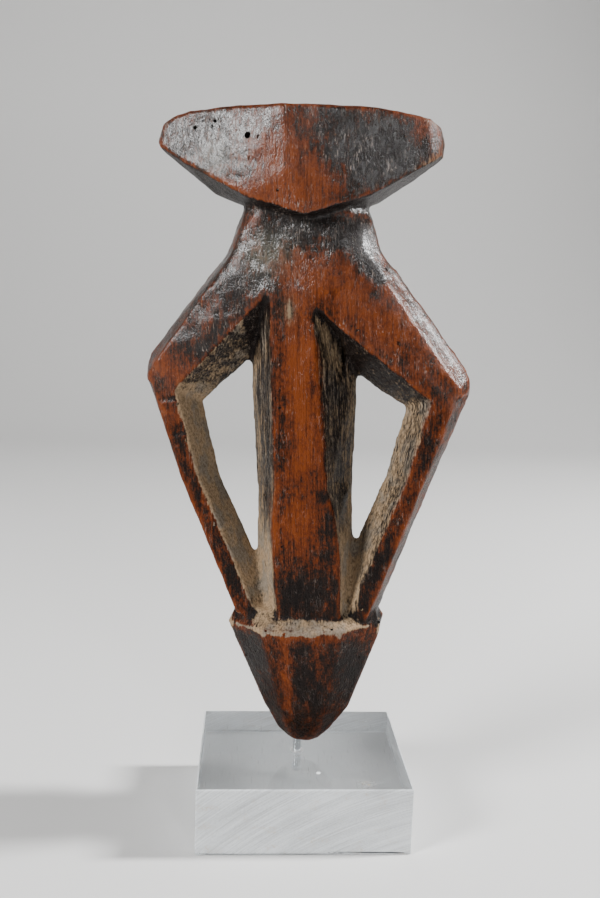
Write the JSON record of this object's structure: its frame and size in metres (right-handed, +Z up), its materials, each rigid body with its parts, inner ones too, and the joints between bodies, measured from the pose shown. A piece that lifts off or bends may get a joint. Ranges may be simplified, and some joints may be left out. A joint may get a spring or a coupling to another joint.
{
  "type": "fertility doll",
  "caption": "Carved hardwood doll with a boat-shaped head, arms akimbo around open windows and a cone foot, held upright on a thin pin in a clear block.",
  "frame": {"origin": "middle of the acrylic block's flat underside", "axes": "+Z up along the pin; the block's long sides lie along X; the doll's front faces -Y, turned 12 degrees about the pin towards -X and leaning 2 degrees towards -X"},
  "size_m": [0.092, 0.05, 0.209],
  "materials": {
    "clear_acrylic": "clear cast acrylic, polished top, frosted saw-cut sides",
    "sleeve_metal": "bright thin-walled metal sleeve",
    "pin_steel": "drawn steel rod, lightly scratched",
    "carved_wood": "hand-carved hardwood, worn red-brown under a dark handled patina, pale dust in the recesses"
  },
  "bodies": {
    "base": {"base_block": "clear_acrylic", "pin_sleeve": "sleeve_metal"},
    "pin": {"mount_pin": "pin_steel"},
    "doll": {"doll": "carved_wood"}
  },
  "joints": [
    {"name": "pin_turn", "type": "hinge", "parent": "base", "child": "pin", "pos_m": [-0.0014, -0.0022, 0.02], "axis": [0, 0, 1], "continuous": true},
    {"name": "doll_lift", "type": "slide", "parent": "pin", "child": "doll", "axis": [0, 0, 1], "range_m": [0, 0.025]}
  ]
}
